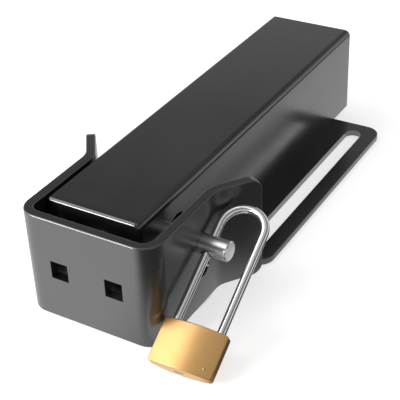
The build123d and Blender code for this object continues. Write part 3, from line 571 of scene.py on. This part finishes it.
# Rear plug. A moulded insert with a spark-eroded matt texture, pushed into the tube's back end.
# A low raised frame runs round its face.
plug_plastic = coated("plug_plastic", (0.018, 0.018, 0.019), (0.026, 0.026, 0.027), (0.050, 0.050, 0.050),
                      gloss=0.48, peel=1500.0, edge_radius=0.0004)
dress(["rear_plug"], plug_plastic)
FRAME_INSET, FRAME_BAND, FRAME_RISE = 3.0, 2.4, 0.8
SQUARENESS, FULLNESS = 0.18, 0.6


def face_frame(name, half_x, half_z, band, rise, centre):
    """A raised frame on a face that looks along +Y: a rounded rectangle, whose x and z are the half sizes
    times the cosine and sine of one angle raised to a low power, carries a domed profile of that band and
    rise."""
    angle = np.linspace(0.0, 2 * np.pi, 161)[:-1]
    turn_x = np.sign(np.cos(angle)) * np.abs(np.cos(angle)) ** SQUARENESS
    turn_z = np.sign(np.sin(angle)) * np.abs(np.sin(angle)) ** SQUARENESS
    across = np.linspace(0.0, 1.0, 9)
    inset = across * band
    lift = rise * np.sin(across * np.pi) ** FULLNESS
    x = (half_x - inset)[None, :] * turn_x[:, None]
    z = (half_z - inset)[None, :] * turn_z[:, None]
    y = np.broadcast_to(lift[None, :], x.shape)
    points = np.stack([x, y, z], axis=2) + np.array(centre, float)
    return surface(name, points * MM, close_u=True, close_v=True)


rear_low, rear_high = [np.array(c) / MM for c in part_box("rear_plug")]
rear_centre = (rear_low + rear_high) / 2
frame_half = (rear_high - rear_low) / 2 - FRAME_INSET
plug_frame = face_frame("plug_frame", frame_half[0], frame_half[2], FRAME_BAND, FRAME_RISE,
                        (rear_centre[0], rear_high[1], rear_centre[2]))
plug_frame.data.materials.append(plug_plastic)
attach(plug_frame, "lock")

# Cable grommet. A soft rubber ring snapped into the rear plug, with rounded lips each side of its wall
# and a bore that opens a little to the outside.
grommet_low, grommet_high = [np.array(c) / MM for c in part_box("cable_grommet")]
grommet_centre = (grommet_low + grommet_high) / 2
GROMMET_BORE_R, GROMMET_NECK_R = 3.5, 6.0
LIP, LIP_ROUND, MOUTH_ROUND = 2.0, 1.0, 1.0
lip_r = (grommet_high[0] - grommet_low[0]) / 2
lip_angle = np.linspace(0.0, np.pi, 13)
lip_out = lip_r - LIP_ROUND + np.sin(lip_angle) * LIP_ROUND
lip_along = np.cos(lip_angle) * LIP / 2
back_lip = np.stack([lip_out, grommet_high[1] - LIP / 2 + lip_along], axis=1)
front_lip = np.stack([lip_out, grommet_low[1] + LIP / 2 + lip_along], axis=1)
mouth_angle = np.linspace(np.pi / 2, np.pi, 7)
mouth = np.stack([GROMMET_BORE_R + MOUTH_ROUND + np.cos(mouth_angle) * MOUTH_ROUND,
                  grommet_high[1] - MOUTH_ROUND + np.sin(mouth_angle) * MOUTH_ROUND], axis=1)
grommet_profile = np.concatenate([
    mouth[::-1], back_lip, [[GROMMET_NECK_R, grommet_high[1] - LIP], [GROMMET_NECK_R, grommet_low[1] + LIP]],
    front_lip, [[GROMMET_BORE_R, grommet_low[1]]], mouth[-1:]])
grommet_ring = turned_shape("grommet_ring", grommet_profile, (grommet_centre[0], 0.0, grommet_centre[2]),
                            segments=64)
grommet_rubber = coated("grommet_rubber", (0.014, 0.014, 0.014), (0.022, 0.022, 0.022), (0.04, 0.04, 0.04),
                        gloss=0.58, peel=1200.0, edge_radius=0.0003)
grommet_ring.data.materials.append(grommet_rubber)
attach(grommet_ring, "lock")
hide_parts("cable_grommet")

# Clevis pin. Turned from stainless bar, so fine rings run round it and its end face is bright.
# It is pushed across through both arms and kept there by the padlock.
stainless = metal("stainless", (0.70, 0.70, 0.69), (0.80, 0.80, 0.79), gloss=0.32, grain=(900.0, 60.0, 60.0),
                  depth=0.0000003, vary=0.03)
dress(["clevis_pin"], stainless)

# Padlock shackle. Hardened steel rod bent to a U, polished and chromed, with faint draw lines along the
# legs. The padlock leans back on the pin, and its finishes follow that lean.
PADLOCK_SWING, PADLOCK_LEAN, PADLOCK_TWIST = np.radians([2.3, -60.6, 1.8])
padlock_turn = (Matrix.Rotation(PADLOCK_SWING, 3, "Z") @ Matrix.Rotation(PADLOCK_LEAN, 3, "X")
                @ Matrix.Rotation(PADLOCK_TWIST, 3, "Z"))
padlock_euler = tuple(padlock_turn.to_euler())
shackle_chrome = metal("shackle_chrome", (0.80, 0.79, 0.81), (0.88, 0.88, 0.89),
                       gloss=0.16, grain=(900.0, 900.0, 40.0), turn=padlock_euler, depth=0.0000003, vary=0.03)
dress(["padlock_shackle"], shackle_chrome)

# Padlock case and key plug. A solid brass block milled with bowed faces and linished across; the key plug
# is turned and sits in the bottom.
case_brass = metal("case_brass", (0.76, 0.425, 0.15), (0.85, 0.515, 0.225),
                   gloss=0.34, grain=(60.0, 900.0, 1600.0), turn=padlock_euler, depth=0.0000006, vary=0.03)
dress(["padlock_case"], case_brass)
dress(["padlock_key_plug"], plug_brass)

# Case pin. A small brass pin driven into the case's front face keeps the key plug in.
# Only its domed end shows.
CASE_PIN_PLACE, CASE_PIN_FACING = (82.069, -185.755, 10.439), (0.304, -0.459, 0.835)
CASE_PIN_R, CASE_PIN_RISE, CASE_PIN_SUNK = 0.7, 0.15, 0.1


def domed_end(name, centre, normal, radius, rise, sunk):
    """A cap on a face: rings whose radius follows a sine and whose height follows a cosine of one angle,
    turned about the normal, from the crown down to a rim sunk a little under the face."""
    normal = np.array(normal) / np.linalg.norm(normal)
    side = np.cross(normal, [0.0, 0.0, 1.0])
    side /= np.linalg.norm(side)
    front = np.cross(normal, side)
    drop = np.linspace(0.0, np.pi / 2, 9)
    angle = np.arange(32) / 32 * 2 * np.pi
    ring = np.cos(angle)[:, None] * side + np.sin(angle)[:, None] * front
    height = (rise + sunk) * np.cos(drop) - sunk
    points = radius * np.sin(drop)[:, None, None] * ring + height[:, None, None] * normal
    return surface(name, (points + np.array(centre)) * MM, close_v=True)


case_pin = domed_end("case_pin", CASE_PIN_PLACE, CASE_PIN_FACING, CASE_PIN_R, CASE_PIN_RISE, CASE_PIN_SUNK)
case_pin.data.materials.append(plug_brass)
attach(case_pin, "pin_and_padlock")
